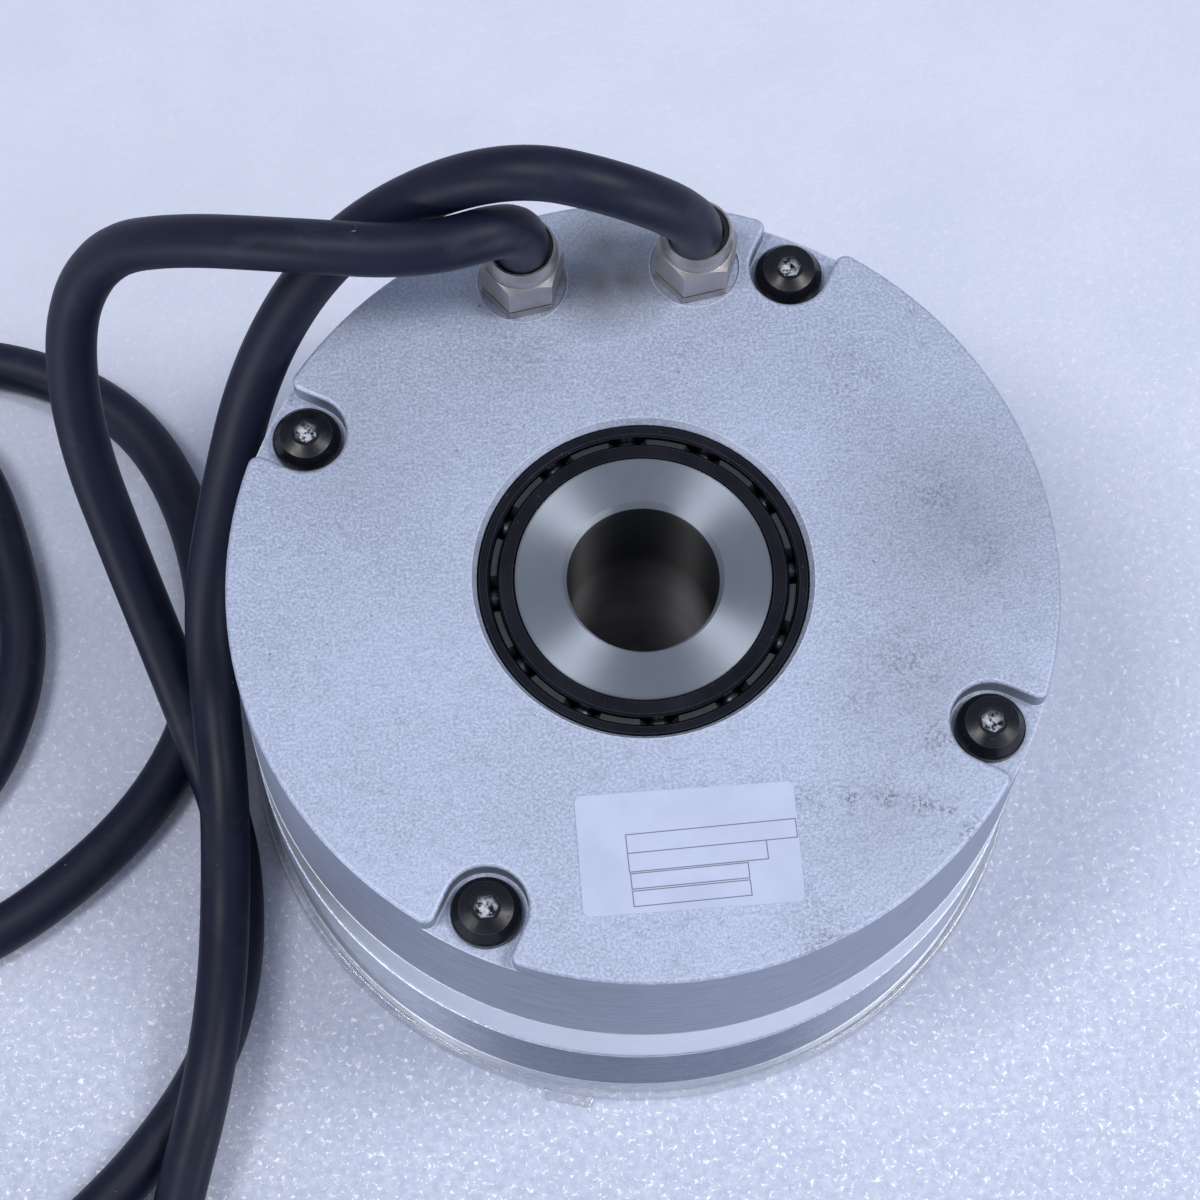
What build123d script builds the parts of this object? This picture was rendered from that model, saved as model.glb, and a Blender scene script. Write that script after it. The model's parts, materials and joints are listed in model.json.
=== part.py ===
from build123d import *
import os
from math import acos, atan2, cos, degrees, pi, radians, sin, sqrt, tan

os.makedirs("parts", exist_ok=True)

# Flat hollow-shaft AC servo motor. Origin in the middle of the mounting face, the shaft runs up +Z.
# All sizes are in millimetres. The motor is sized from the inside outwards: its bore sets the shaft,
# the shaft sets bearings and rotor, the rotor sets the stator, and the stator sets the housing.

# Clearances
SEAT_GAP = 0.02
LOCATING_GAP = 0.01
THREAD_GAP = 0.02
SEAL_GAP = 0.05
RING_GAP = 0.05
GROOVE_GAP = 0.06
CAGE_GAP = 0.15
AIR_GAP = 0.55

# Hollow shaft
BORE_R = 11.0
BORE_MOUTH = 0.7
BORE_MOUTH_DEPTH = 1.4
SHAFT_WALL = 7.5
SHAFT_STEP = 2.0
SHAFT_FRONT_INSET = 0.2
SHAFT_REAR_INSET = 0.6
SHAFT_EDGE = 0.3
OUTPUT_COUNT = 6
OUTPUT_EDGE = 7.0
OUTPUT_TAP_R = 1.65
OUTPUT_TAP_DEPTH = 8.0

# Bearings, 37 x 48 x 7 at the rear and 45 x 58 x 7 at the front
BEARING_W = 7.0
BEARING_CORNER = 0.35
BALL_COUNT = 12
REAR_SECTION = 5.5
REAR_LANDS = (2.5, 3.7)
REAR_BALL_R = 1.75
FRONT_SECTION = 6.5
FRONT_LANDS = (2.4, 4.2)
FRONT_BALL_R = 2.0
CAGE_FLOOR = 0.9
CAGE_HORN = 0.8
CAGE_FLARE = 0.9
WAVE_SPRING_T = 1.0
WAVE_SPRING_W = 1.1
WAVE_COUNT = 3
WAVE_FLAT_W = 22.0
WAVE_LIFT = 0.45

# Front seal and mounting side
PILOT_STEP = 11.0
PILOT_DEPTH = 3.0
SEAL_SECTION = 6.5
SEAL_L = 4.1
SEAL_LIP = 3.0
SEAL_BORE_TOP = 7.5
SEAL_FLANGE_T = 1.5
FRONT_FLOOR_T = 10.0
FRONT_BOSS_T = 9.0
MOUNT_COUNT = 4
MOUNT_ANGLE = 15.0
MOUNT_EDGE = 6.5
MOUNT_TAP_R = 2.1
MOUNT_TAP_DEPTH = 11.0
MOUNT_BOSS_R = 5.2
MOUNT_BOSS_H = 4.0

# Bearing retainer and its screws
RETAINER_T = 1.6
RETAINER_EDGE = 0.5
RETAINER_LIP = 1.7
RETAINER_SCREW_EDGE = 4.0
RETAINER_SCREW_BITE = 8.0
SMALL_SCREW_R = 1.5
SMALL_HEAD_R = 2.75
SMALL_HEAD_H = 1.6
SMALL_SOCKET = 2.0
SMALL_SOCKET_DEPTH = 0.9

# Rotor
SPACER_T = 3.0
SPACER_L = 11.0
HUB_BOSS_T = 4.5
HUB_BOSS_L = 11.0
HUB_WEB_T = 5.0
HUB_WEB_DROP = 3.0
HUB_DISH = 3.0
RIM_T = 3.4
RIM_OVERHANG = 0.5
LOCK_NUT_WALL = 5.0
LOCK_NUT_T = 3.6
LOCK_NUT_SLOT = 4.0
LOCK_NUT_SLOT_DEPTH = 1.5
LOCK_NUT_ROOM = 0.4
MAGNET_T = 2.0
MAGNET_COUNT = 10
MAGNET_ANGLE = 33.0
SLEEVE_T = 0.25

# Stator
TOOTH_COUNT = 12
CORE_L = 16.0
TOOTH_L = 8.28
TOOTH_W = 8.0
TIP_T = 1.6
TIP_ANGLE = 25.0
YOKE_T = 5.0
COIL_W = 14.0
COIL_OVERHANG = 4.0
COIL_CORNER = 3.0
COIL_SLACK = 0.3
COIL_ROOT_GAP = 0.3
COIL_TIP_GAP = 0.6
INSULATOR_W = 3.9
INSULATOR_L = 4.5
INSULATOR_NOTCH = (2.4, 2.0)
WINDING_BOARD_T = 1.2
WINDING_BOARD_W = 10.4
WINDING_HOLE_R = 0.8
WINDING_HOLE_EDGE = 2.5

# Encoder
ENCODER_HUB_WALL = 4.0
ENCODER_HUB_L = 7.0
ENCODER_FLANGE = (3.0, 2.0)
DISC_W = 8.5
DISC_T = 1.0
DISC_BORE_GAP = 0.1
BOARD_T = 1.6
BOARD_EDGE_GAP = 9.5
BOARD_BORE_GAP = 2.0
SENSOR_ROOM = 4.0
SENSOR_SIZE = (8.0, 7.0)
SENSOR_EDGE = 2.5
SENSOR_ANGLE = 270.0
SENSOR_GAP = 0.4
STANDOFF_R = 3.0
STANDOFF_EDGE = 4.0
STANDOFF_COUNT = 3
STANDOFF_ANGLE = 30.0
BOARD_SCREW_BITE = 5.0
CONNECTOR_SIZE = (10.0, 6.0, 4.4)
CONNECTOR_WALL = 0.8
CONNECTOR_EDGE = 8.0
BOARD_ROOM = 8.4

# Housing: front casting, turned centre frame and rear casting
FRAME_H = 14.0
FRAME_WALL = 10.8
FRONT_LEDGE = 0.2
REAR_STEP = 0.1
REAR_DRAFT = 0.2
HOUSING_WALL = 5.0
COVER_T = 6.0
EDGE_CHAMFER = 0.8
CAST_ROUND = 0.6
INNER_CORNER = 1.5
BEARING_BOSS_T = 4.5
BEARING_BOSS_DROP = 4.6
SHOULDER = 1.4
MOUTH_CHAMFER = 0.7
MOUTH_DEPTH = 1.1
ORING_EDGE = 2.5
ORING_SECTION_R = 0.55
ORING_GROOVE_W = 1.2
ORING_GROOVE_D = 1.1

# Housing screws, M5 button heads in pockets that open to the rim
SCREW_COUNT = 4
SCREW_ANGLE = 60.0
SCREW_EDGE = 6.1
SCREW_R = 2.5
SCREW_HOLE_R = 2.75
SCREW_BOSS_R = 4.3
SCREW_BITE = 11.5
SCREW_TAP_EXTRA = 2.0
SCREW_HEAD_R = 4.75
SCREW_HEAD_H = 2.75
SCREW_SOCKET = 3.0
SCREW_SOCKET_DEPTH = 1.6
POCKET_R = 5.9
POCKET_DEPTH = 3.6
POCKET_CORNER = 1.6
WASHER_R = 5.05
WASHER_T = 1.2

# Cable glands, side by side at the +Y rim
GLAND_SIDE = 12.9
GLAND_EDGE = 11.7
GLAND_TURN = 8.4
SPOT_R = 6.7
SPOT_DEPTH = 0.4
GLAND_BOSS_R = 7.5
GLAND_BOSS_DROP = 4.0
GLAND_HEX = 11.0
GLAND_HEX_H = 8.6
GLAND_HEX_CHAMFER = (0.5, 0.9)
GLAND_SEAM_H = 0.5
GLAND_SEAM_Z = 1.8
GLAND_SEAM_D = 0.35
GLAND_DOME_STEP = 0.1
GLAND_DOME_H = 3.4
GLAND_DOME_R = 5.0
GLAND_THREAD_R = 5.0
GLAND_THREAD_L = 7.6
GLAND_MOUTH_R = 4.7
GLAND_BORE_R = 4.2
GLAND_SEAL_SEAT = 1.4
GLAND_SEAL_INSET = 0.4

# Clear protective ring on the mounting edge, and the blank nameplate
GUARD_T = 1.45
GUARD_H = 5.5
GUARD_CHAMFER = 0.4
TAB_ANGLE = 254.4
TAB_ROOT_W = 8.4
TAB_TIP_W = 7.0
TAB_REACH = 1.4
TAB_H = 1.2
PLATE_SIZE = (30.8, 17.4)
PLATE_T = 0.2
PLATE_CORNER = 1.0
PLATE_SIDE = 1.9
PLATE_EDGE = 18.8
PLATE_TURN = -1.4

# Radii that follow, from the bore outwards
BORE_MOUTH_R = BORE_R + BORE_MOUTH
SHAFT_REAR_R = BORE_R + SHAFT_WALL
SHAFT_ENCODER_R = SHAFT_REAR_R + SHAFT_STEP
SHAFT_HUB_R = SHAFT_ENCODER_R + SHAFT_STEP
SHAFT_FRONT_R = SHAFT_HUB_R + SHAFT_STEP
OUTPUT_PITCH_R = BORE_R + OUTPUT_EDGE
REAR_BEARING_R = SHAFT_REAR_R + REAR_SECTION
FRONT_BEARING_R = SHAFT_HUB_R + FRONT_SECTION
REAR_SEAT_R = REAR_BEARING_R + SEAT_GAP
FRONT_SEAT_R = FRONT_BEARING_R + SEAT_GAP
SHOULDER_R = REAR_BEARING_R - SHOULDER
MOUTH_R = REAR_BEARING_R + MOUTH_CHAMFER
BEARING_BOSS_R = REAR_BEARING_R + BEARING_BOSS_T
SEAL_LIP_R = SHAFT_FRONT_R + SEAL_LIP
SEAL_BORE_R = SHAFT_FRONT_R + SEAL_SECTION
PILOT_R = SEAL_BORE_R + PILOT_STEP
FRONT_BOSS_R = FRONT_BEARING_R + FRONT_BOSS_T
RETAINER_R = FRONT_BOSS_R - RETAINER_EDGE
RETAINER_BORE_R = FRONT_BEARING_R - RETAINER_LIP
RETAINER_SCREW_PITCH_R = FRONT_BOSS_R - RETAINER_SCREW_EDGE
SPACER_R = SHAFT_HUB_R + SPACER_T
HUB_BOSS_R = SHAFT_HUB_R + HUB_BOSS_T
LOCK_NUT_R = SHAFT_HUB_R + LOCK_NUT_WALL
RIM_IN_R = HUB_BOSS_R + HUB_DISH
RIM_R = RIM_IN_R + RIM_T
MAGNET_R = RIM_R + MAGNET_T
SLEEVE_R = MAGNET_R + SLEEVE_T
STATOR_BORE_R = SLEEVE_R + AIR_GAP
YOKE_IN_R = STATOR_BORE_R + TOOTH_L
YOKE_OUT_R = YOKE_IN_R + YOKE_T
FRAME_BORE_R = YOKE_OUT_R + SEAT_GAP
FRAME_R = FRAME_BORE_R + FRAME_WALL
FRONT_R = FRAME_R + FRONT_LEDGE
REAR_BASE_R = FRAME_R - REAR_STEP
REAR_TOP_R = REAR_BASE_R - REAR_DRAFT
INNER_R = FRONT_R - HOUSING_WALL
MOUNT_PITCH_R = FRONT_R - MOUNT_EDGE
SCREW_PITCH_R = REAR_TOP_R - SCREW_EDGE
ORING_R = FRAME_R - ORING_EDGE
ENCODER_HUB_R = SHAFT_ENCODER_R + ENCODER_HUB_WALL
DISC_R = ENCODER_HUB_R + DISC_W
SENSOR_PITCH_R = DISC_R - SENSOR_EDGE
ENCODER_BOARD_R = INNER_R - BOARD_EDGE_GAP
ENCODER_BOARD_BORE_R = ENCODER_HUB_R + BOARD_BORE_GAP
STANDOFF_PITCH_R = ENCODER_BOARD_R - STANDOFF_EDGE
CONNECTOR_PITCH_R = ENCODER_BOARD_R - CONNECTOR_EDGE
GLAND_Y = REAR_TOP_R - GLAND_EDGE
GLAND_PITCH_R = sqrt(GLAND_SIDE ** 2 + GLAND_Y ** 2)
ENCODER_ANGLE = degrees(atan2(GLAND_Y, GLAND_SIDE))
POWER_ANGLE = 180 - ENCODER_ANGLE
HOLE_ANGLES = [SCREW_ANGLE + 360 / SCREW_COUNT * i for i in range(SCREW_COUNT)]
MOUNT_ANGLES = [MOUNT_ANGLE + 360 / MOUNT_COUNT * i for i in range(MOUNT_COUNT)]
STANDOFF_ANGLES = [STANDOFF_ANGLE + 360 / STANDOFF_COUNT * i for i in range(STANDOFF_COUNT)]
RETAINER_ANGLES = [45, 135, 225, 315]

# Heights that follow, from the mounting face up
SHAFT_FRONT_Z = PILOT_DEPTH + SHAFT_FRONT_INSET
FRONT_BEARING_Z = SEAL_BORE_TOP + SEAL_FLANGE_T
FRONT_BOSS_TOP = FRONT_BEARING_Z + BEARING_W
HUB_Z = FRONT_BOSS_TOP + SPACER_L
CORE_MID_Z = HUB_Z + HUB_BOSS_L / 2
CORE_Z = CORE_MID_Z - CORE_L / 2
CORE_TOP = CORE_MID_Z + CORE_L / 2
FRAME_Z = CORE_MID_Z - FRAME_H / 2
REAR_Z = CORE_MID_Z + FRAME_H / 2
NUT_Z = HUB_Z + HUB_BOSS_L
SHAFT_STEP_Z = NUT_Z + LOCK_NUT_T + LOCK_NUT_ROOM
DISC_Z = SHAFT_STEP_Z + ENCODER_HUB_L
ENCODER_BOARD_Z = DISC_Z + DISC_T + SENSOR_ROOM
BOARD_TOP = ENCODER_BOARD_Z + BOARD_T
COVER_UNDER = BOARD_TOP + BOARD_ROOM
TOP = COVER_UNDER + COVER_T
POCKET_FLOOR = TOP - POCKET_DEPTH
REAR_BEARING_Z = TOP - MOUTH_DEPTH - BEARING_W
REAR_SEAT_Z = REAR_BEARING_Z - WAVE_SPRING_T
SHAFT_REAR_Z = TOP - SHAFT_REAR_INSET

# Cords, both of the same size. Points are the corners of the routes.
CORD_R = 3.9
CORD_Z = 4.0
CORD_START_Z = TOP - 4.0
CORD_RISE_Z = TOP + 7.0
BEND_SHARE = 0.45
POWER_ROUTE = [
    (-GLAND_SIDE, GLAND_Y, CORD_START_Z),
    (-GLAND_SIDE, GLAND_Y, CORD_RISE_Z),
    (-13.0, 46.3, 92.5),
    (-27.5, 42.4, 93.5),
    (-47.0, 46.5, 92.0),
    (-62.5, 53.0, 84.0),
    (-74.3, 58.3, 72.6),
    (-81.8, 54.1, 59.9),
    (-83.0, 42.0, 43.0),
    (-78.0, 26.0, 26.0),
    (-72.0, 7.5, 14.0),
    (-66.0, -13.0, CORD_Z),
    (-66.0, -32.0, CORD_Z),
    (-70.9, -49.0, CORD_Z),
    (-84.2, -65.8, CORD_Z),
    (-102.0, -79.5, CORD_Z),
    (-122.0, -83.0, CORD_Z),
    (-140.0, -75.0, CORD_Z),
    (-148.0, -57.5, CORD_Z),
    (-141.0, -40.5, CORD_Z),
    (-123.5, -32.0, CORD_Z),
    (-100.6, -24.7, CORD_Z),
    (-76.6, -5.3, CORD_Z),
    (-67.0, 19.0, CORD_Z),
    (-69.3, 43.0, CORD_Z),
    (-79.0, 63.0, CORD_Z),
    (-99.5, 75.0, CORD_Z),
    (-121.5, 76.0, CORD_Z),
    (-139.5, 65.5, CORD_Z),
    (-148.0, 46.0, CORD_Z),
    (-148.0, 22.0, CORD_Z),
    (-141.0, 0.5, CORD_Z),
    (-125.0, -11.5, CORD_Z),
    (-108.0, -4.0, CORD_Z),
    (-98.4, 16.5, CORD_Z),
    (-99.4, 36.0, 4.6),
    (-105.7, 58.1, 5.6),
    (-118.3, 62.7, 6.2),
    (-129.4, 55.2, 6.2),
    (-129.6, 41.8, 6.2),
]
ENCODER_ROUTE = [
    (GLAND_SIDE, GLAND_Y, CORD_START_Z),
    (GLAND_SIDE, GLAND_Y, CORD_RISE_Z),
    (11.9, 45.7, 90.4),
    (0.6, 45.8, 101.4),
    (-12.8, 49.5, 103.2),
    (-28.3, 52.5, 92.1),
    (-42.7, 49.0, 80.5),
    (-53.6, 40.1, 65.8),
    (-60.7, 28.6, 46.9),
    (-66.0, 17.5, 30.0),
    (-66.5, 4.5, 21.0),
    (-66.0, -11.5, 19.0),
    (-67.5, -26.0, 12.5),
    (-69.0, -40.5, 12.0),
    (-72.5, -56.7, 12.1),
    (-78.0, -71.2, 7.7),
    (-82.8, -88.0, CORD_Z),
    (-86.0, -106.0, CORD_Z),
    (-86.2, -123.0, CORD_Z),
]
COIL_CENTRE = (-46.2, -123.0)
COIL_OUTER_R = 40.0
COIL_PITCH = 8.1
COIL_TURNS = 1.9
COIL_ROUND = 3.0
TAIL_ROUTE = [
    (-66.1, -108.5, CORD_Z),
    (-69.8, -119.7, 6.0),
    (-69.0, -131.3, 9.4),
    (-63.8, -142.0, 12.4),
    (-54.5, -149.3, 14.2),
    (-43.5, -150.2, 14.2),
]

# Plugs on the cord ends
PLUG_L = 24.0
PLUG_W = 14.0
PLUG_H = 12.0
CONTACT_HOLE = 1.8
CONTACT_HOLE_L = 8.0
CONTACT_SIDE = 1.3
CONTACT_L = 6.0
LATCH_SIZE = (8.0, 4.0, 1.0)
PLUG_EDGE = 1.0
BOOT_L = 10.0
BOOT_TIP_R = 4.3
BOOT_ROOT_R = 5.2
POWER_CONTACTS = dict(columns=2, rows=2, pitch=4.2)
ENCODER_CONTACTS = dict(columns=4, rows=2, pitch=3.0)


def place(radius, angle, z=0.0):
    """Spot on a circle round the shaft, with the local X axis pointing outwards."""
    return Rot(0, 0, angle) * Pos(radius, 0, z)


def tube(r_in, r_out, z, length):
    """Plain ring from height z up."""
    return Pos(0, 0, z) * extrude(Circle(r_out) - Circle(r_in), length)


def rod(radius, z, length):
    """Plain cylinder from height z up."""
    return Pos(0, 0, z) * extrude(Circle(radius), length)


def turned(points):
    """Body of revolution from a closed (radius, height) outline."""
    outline = make_face(Polyline(*points, close=True))
    return revolve(Plane.XZ * outline, Axis.Z)


def group(solids):
    """Separate solids that share one node."""
    return Compound([solid for part in solids for solid in part.solids()])


def save(name, shape):
    export_step(shape, f"parts/{name}.step")


def pocket_sketch():
    """Rear face outline: a disc with a rounded slot open to the rim round each screw."""
    face = Circle(REAR_TOP_R)
    reach = REAR_TOP_R - SCREW_PITCH_R + POCKET_R
    for angle in HOLE_ANGLES:
        slot = Circle(POCKET_R) + Pos(reach / 2, 0) * Rectangle(reach, 2 * POCKET_R)
        face -= place(SCREW_PITCH_R, angle) * slot
    rim = [v for v in face.vertices() if Vector(*v).length > REAR_TOP_R - 0.1]
    return fillet(rim, POCKET_CORNER)


def rear_housing():
    slab = extrude(pocket_sketch(), POCKET_DEPTH)
    slab = fillet(slab.faces().sort_by(Axis.Z)[-1].outer_wire().edges(), CAST_ROUND)
    shell = turned([
        (0, COVER_UNDER),
        (INNER_R - INNER_CORNER, COVER_UNDER),
        (INNER_R, COVER_UNDER - INNER_CORNER),
        (INNER_R, REAR_Z),
        (REAR_BASE_R, REAR_Z),
        (REAR_TOP_R, POCKET_FLOOR),
        (0, POCKET_FLOOR),
    ])
    body = shell + Pos(0, 0, POCKET_FLOOR) * slab
    boss_z = COVER_UNDER - BEARING_BOSS_DROP
    body += rod(BEARING_BOSS_R, boss_z, BEARING_BOSS_DROP)
    for angle in HOLE_ANGLES:
        body += place(SCREW_PITCH_R, angle) * rod(SCREW_BOSS_R, REAR_Z, COVER_UNDER - REAR_Z)
    for angle in (POWER_ANGLE, ENCODER_ANGLE):
        boss = rod(GLAND_BOSS_R, COVER_UNDER - GLAND_BOSS_DROP, GLAND_BOSS_DROP)
        body += place(GLAND_PITCH_R, angle) * boss
    for angle in STANDOFF_ANGLES:
        post = rod(STANDOFF_R, BOARD_TOP, COVER_UNDER - BOARD_TOP)
        post -= rod(SMALL_SCREW_R + THREAD_GAP, BOARD_TOP, BOARD_SCREW_BITE + 1)
        body += place(STANDOFF_PITCH_R, angle) * post
    body -= turned([
        (0, boss_z),
        (SHOULDER_R, boss_z),
        (SHOULDER_R, REAR_SEAT_Z),
        (REAR_SEAT_R, REAR_SEAT_Z),
        (REAR_SEAT_R, TOP - MOUTH_DEPTH),
        (MOUTH_R, TOP),
        (0, TOP),
    ])
    for angle in HOLE_ANGLES:
        body -= place(SCREW_PITCH_R, angle) * rod(SCREW_HOLE_R, REAR_Z, TOP - REAR_Z)
    for angle in (POWER_ANGLE, ENCODER_ANGLE):
        hole = rod(GLAND_THREAD_R + THREAD_GAP, COVER_UNDER - GLAND_BOSS_DROP, COVER_T + GLAND_BOSS_DROP)
        body -= place(GLAND_PITCH_R, angle) * (hole + rod(SPOT_R, TOP - SPOT_DEPTH, SPOT_DEPTH))
    return body


def center_frame():
    body = tube(FRAME_BORE_R, FRAME_R, FRAME_Z, FRAME_H)
    for z in (FRAME_Z, REAR_Z - ORING_GROOVE_D):
        body -= tube(ORING_R - ORING_GROOVE_W / 2, ORING_R + ORING_GROOVE_W / 2, z, ORING_GROOVE_D)
    for angle in HOLE_ANGLES:
        body -= place(SCREW_PITCH_R, angle) * rod(SCREW_HOLE_R, FRAME_Z, FRAME_H)
    return body


def oring(z):
    return Pos(0, 0, z) * Torus(ORING_R, ORING_SECTION_R)


def front_housing():
    body = turned([
        (PILOT_R, 0),
        (FRONT_R - EDGE_CHAMFER, 0),
        (FRONT_R, EDGE_CHAMFER),
        (FRONT_R, FRAME_Z),
        (INNER_R, FRAME_Z),
        (INNER_R, FRONT_FLOOR_T + INNER_CORNER),
        (INNER_R - INNER_CORNER, FRONT_FLOOR_T),
        (FRONT_BOSS_R + INNER_CORNER, FRONT_FLOOR_T),
        (FRONT_BOSS_R, FRONT_FLOOR_T + INNER_CORNER),
        (FRONT_BOSS_R, FRONT_BOSS_TOP),
        (FRONT_SEAT_R, FRONT_BOSS_TOP),
        (FRONT_SEAT_R, FRONT_BEARING_Z),
        (SEAL_LIP_R, FRONT_BEARING_Z),
        (SEAL_LIP_R, SEAL_BORE_TOP),
        (SEAL_BORE_R, SEAL_BORE_TOP),
        (SEAL_BORE_R, PILOT_DEPTH),
        (PILOT_R, PILOT_DEPTH),
    ])
    for angle in HOLE_ANGLES:
        body += place(SCREW_PITCH_R, angle) * rod(SCREW_BOSS_R, FRONT_FLOOR_T, FRAME_Z - FRONT_FLOOR_T)
        tap_depth = SCREW_BITE + SCREW_TAP_EXTRA
        body -= place(SCREW_PITCH_R, angle) * rod(SCREW_R + THREAD_GAP, FRAME_Z - tap_depth, tap_depth)
    for angle in MOUNT_ANGLES:
        boss = rod(MOUNT_BOSS_R, FRONT_FLOOR_T - INNER_CORNER, MOUNT_BOSS_H + INNER_CORNER)
        body += place(MOUNT_PITCH_R, angle) * boss
        body -= place(MOUNT_PITCH_R, angle) * rod(MOUNT_TAP_R, 0, MOUNT_TAP_DEPTH)
    for angle in RETAINER_ANGLES:
        depth = RETAINER_SCREW_BITE + 1
        hole = rod(SMALL_SCREW_R + THREAD_GAP, FRONT_BOSS_TOP - depth, depth)
        body -= place(RETAINER_SCREW_PITCH_R, angle) * hole
    return body


def button_screw(shank_r, head_r, head_h, socket, socket_depth, under_head, length):
    """Button-head screw that stands on height under_head, shank downwards."""
    rise = head_r - head_r * 0.45
    head = turned([
        (0, under_head),
        (head_r, under_head),
        (head_r, under_head + head_h * 0.25),
        (head_r - rise * 0.35, under_head + head_h * 0.78),
        (head_r - rise, under_head + head_h),
        (0, under_head + head_h),
    ])
    key = extrude(RegularPolygon(socket / sqrt(3), 6), socket_depth)
    head -= Pos(0, 0, under_head + head_h - socket_depth) * key
    return head + rod(shank_r, under_head - length, length)


def housing_screws():
    seat = POCKET_FLOOR + WASHER_T
    length = seat - (FRAME_Z - SCREW_BITE)
    screw = button_screw(SCREW_R, SCREW_HEAD_R, SCREW_HEAD_H, SCREW_SOCKET, SCREW_SOCKET_DEPTH, seat, length)
    return group([place(SCREW_PITCH_R, angle) * screw for angle in HOLE_ANGLES])


def screw_washers():
    washer = tube(SCREW_HOLE_R, WASHER_R, POCKET_FLOOR, WASHER_T)
    return group([place(SCREW_PITCH_R, angle) * washer for angle in HOLE_ANGLES])


def small_screws(pitch_r, angles, under_head, length, upside_down=False):
    screw = button_screw(SMALL_SCREW_R, SMALL_HEAD_R, SMALL_HEAD_H, SMALL_SOCKET, SMALL_SOCKET_DEPTH, 0, length)
    if upside_down:
        screw = Rot(180, 0, 0) * screw
    return group([place(pitch_r, angle, under_head) * screw for angle in angles])


def gland(angle):
    """Nickel-plated cable gland: thread, hexagon with a seam, and domed cap with an open mouth."""
    base = TOP - SPOT_DEPTH
    hex_top = base + GLAND_HEX_H
    hexagon = Pos(0, 0, base) * extrude(RegularPolygon(GLAND_HEX / sqrt(3), 6), GLAND_HEX_H)
    corner_r = GLAND_HEX / sqrt(3)
    hexagon &= turned([
        (0, base),
        (GLAND_HEX / 2, base),
        (corner_r, base + GLAND_HEX_CHAMFER[0]),
        (corner_r, hex_top - GLAND_HEX_CHAMFER[1]),
        (GLAND_HEX / 2, hex_top),
        (0, hex_top),
    ])
    seam = base + GLAND_SEAM_Z
    hexagon -= tube(GLAND_HEX / 2 - GLAND_SEAM_D, GLAND_HEX, seam, GLAND_SEAM_H)
    dome = turned([
        (0, hex_top),
        (GLAND_HEX / 2 - GLAND_DOME_STEP, hex_top),
        (GLAND_HEX / 2 - GLAND_DOME_STEP, hex_top + GLAND_DOME_H * 0.55),
        (GLAND_DOME_R, hex_top + GLAND_DOME_H),
        (0, hex_top + GLAND_DOME_H),
    ])
    body = hexagon + dome + rod(GLAND_THREAD_R, base - GLAND_THREAD_L, GLAND_THREAD_L)
    body -= rod(GLAND_BORE_R, base - GLAND_THREAD_L, GLAND_THREAD_L + GLAND_SEAL_SEAT)
    body -= rod(GLAND_MOUTH_R, base + GLAND_SEAL_SEAT, GLAND_HEX_H + GLAND_DOME_H)
    return place(GLAND_PITCH_R, angle) * Rot(0, 0, GLAND_TURN - angle) * body


def gland_seal(angle):
    base = TOP - SPOT_DEPTH + GLAND_SEAL_SEAT
    length = GLAND_HEX_H + GLAND_DOME_H - GLAND_SEAL_SEAT - GLAND_SEAL_INSET
    return place(GLAND_PITCH_R, angle) * tube(CORD_R, GLAND_MOUTH_R - LOCATING_GAP, base, length)


def bearing_ring(r_in, r_out, z, groove_r, pitch_r):
    ring = tube(r_in, r_out, z, BEARING_W)
    ring = chamfer(ring.edges().filter_by(GeomType.CIRCLE), BEARING_CORNER)
    return ring - Pos(0, 0, z + BEARING_W / 2) * Torus(pitch_r, groove_r)


def bearing(bore_r, section, lands, ball_r, z):
    """Deep-groove ball bearing: outer ring, inner ring, crown cage and balls."""
    land_in = bore_r + lands[0]
    land_out = bore_r + lands[1]
    pitch_r = (land_in + land_out) / 2
    groove_r = ball_r + GROOVE_GAP
    middle = z + BEARING_W / 2
    outer = bearing_ring(land_out, bore_r + section, z, groove_r, pitch_r)
    inner = bearing_ring(bore_r + LOCATING_GAP, land_in, z, groove_r, pitch_r)
    cage_z = middle - ball_r - CAGE_FLOOR
    cage_top = middle + ball_r + CAGE_HORN
    cage = tube(land_in + CAGE_GAP, land_out - CAGE_GAP, cage_z, cage_top - cage_z)
    pocket_r = ball_r + CAGE_GAP
    mouth = make_face(Polyline(
        (-pocket_r * 0.8, 0),
        (pocket_r * 0.8, 0),
        (pocket_r + CAGE_FLARE, cage_top - middle),
        (-pocket_r - CAGE_FLARE, cage_top - middle),
        close=True,
    ))
    cutter = extrude(Plane.YZ * (Circle(pocket_r) + mouth), 2 * ball_r, both=True)
    steps = [360 / BALL_COUNT * i for i in range(BALL_COUNT)]
    for angle in steps:
        cage -= place(pitch_r, angle, middle) * cutter
    balls = group([place(pitch_r, angle, middle) * Sphere(ball_r) for angle in steps])
    return outer, inner, cage, balls


def wave_spring():
    """Flat wire ring with three waves that pushes the rear bearing outwards."""
    r_out = REAR_SEAT_R - 4 * SEAT_GAP
    ring = tube(r_out - WAVE_SPRING_W, r_out, REAR_SEAT_Z, WAVE_SPRING_T)
    relief = Box(r_out + 2, WAVE_FLAT_W, 2 * WAVE_SPRING_T * WAVE_LIFT)
    for i in range(WAVE_COUNT):
        turn = 360 / WAVE_COUNT * i
        half = 180 / WAVE_COUNT
        ring -= Rot(0, 0, turn) * Pos(r_out / 2, 0, REAR_SEAT_Z) * relief
        ring -= Rot(0, 0, turn + half) * Pos(r_out / 2, 0, REAR_SEAT_Z + WAVE_SPRING_T) * relief
    return ring


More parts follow.
